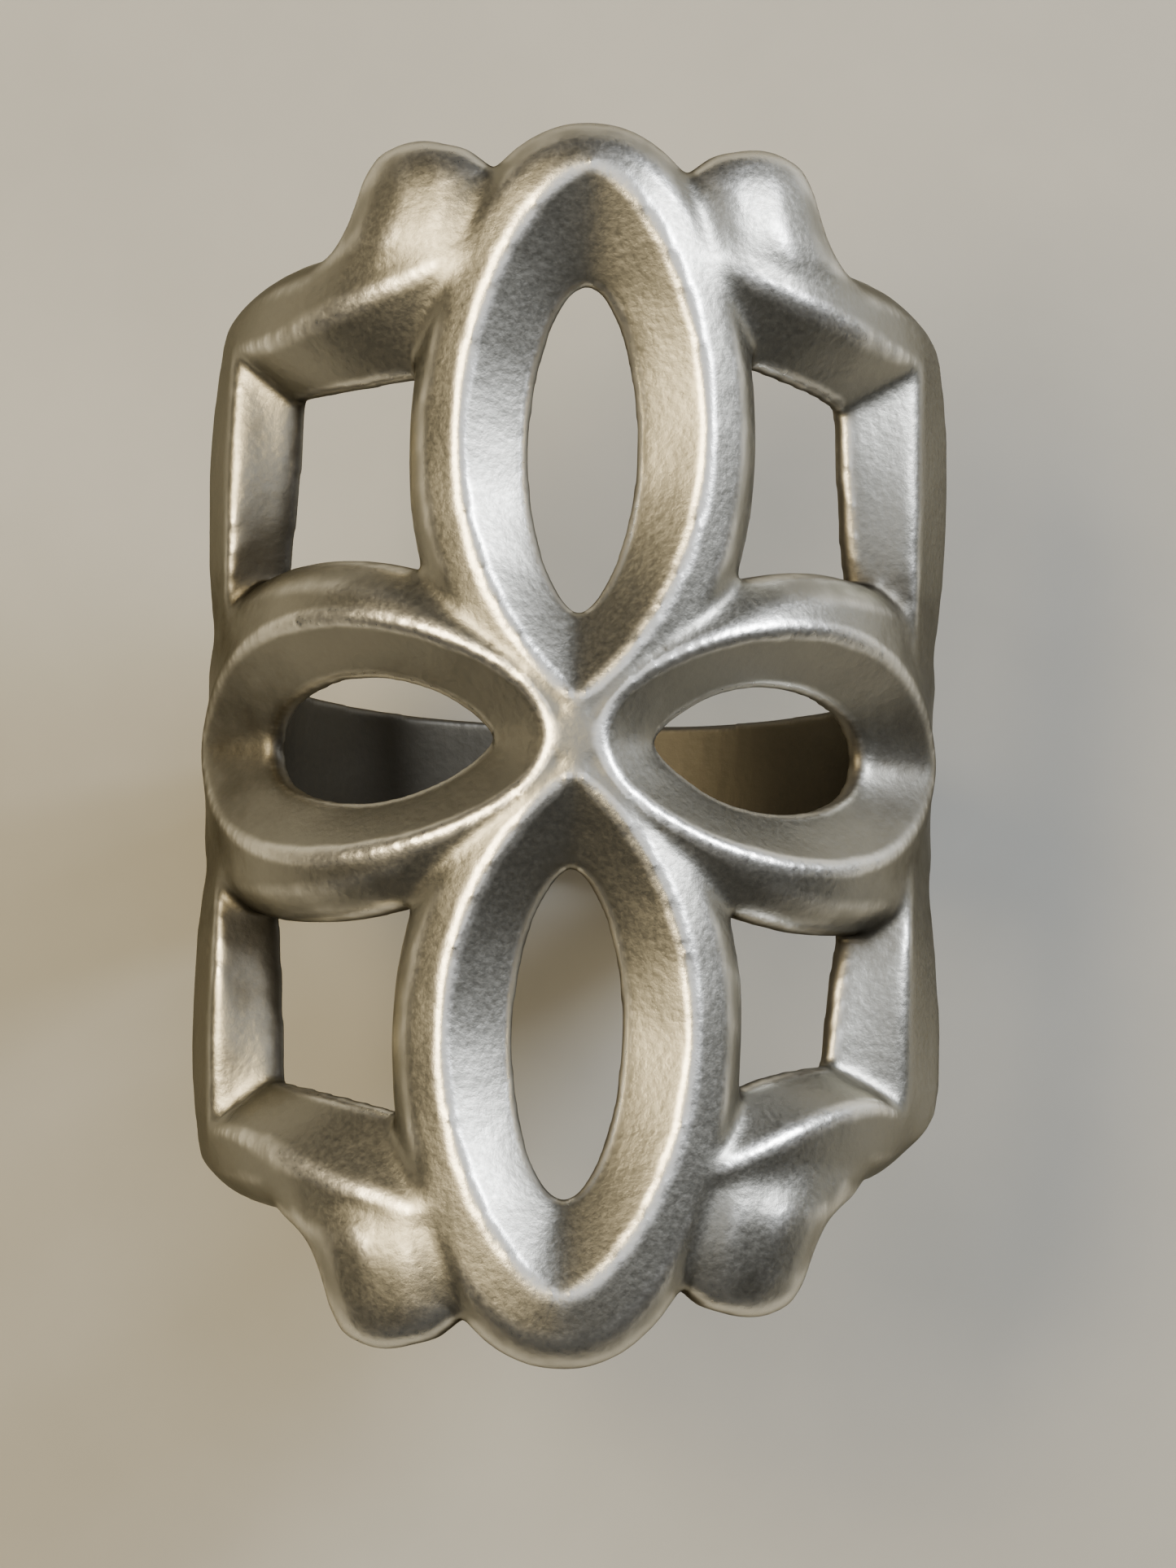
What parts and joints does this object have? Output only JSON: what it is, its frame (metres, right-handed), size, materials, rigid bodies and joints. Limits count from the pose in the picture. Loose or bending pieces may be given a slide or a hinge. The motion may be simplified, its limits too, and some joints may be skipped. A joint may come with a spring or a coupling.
{
  "type": "openwork finger ring",
  "caption": "Sandcast silver finger ring: a long curved openwork face of ridged petals in a scalloped frame, soldered to a plain tapered band.",
  "frame": {"origin": "centre of the finger hole, on the finger's axis and level with the middle of the face", "axes": "+Y along the finger, +Z out through the middle of the face, +X to the right of the face seen from above with +Y up"},
  "size_m": [0.0203, 0.0322, 0.0203],
  "materials": {
    "sandcast_silver": "satin",
    "rolled_silver": "satin",
    "silver_solder": "satin"
  },
  "bodies": {
    "root": {"cast_face": "sandcast_silver", "shank": "rolled_silver", "solder_seam_left": "silver_solder", "solder_seam_right": "silver_solder"}
  },
  "joints": []
}
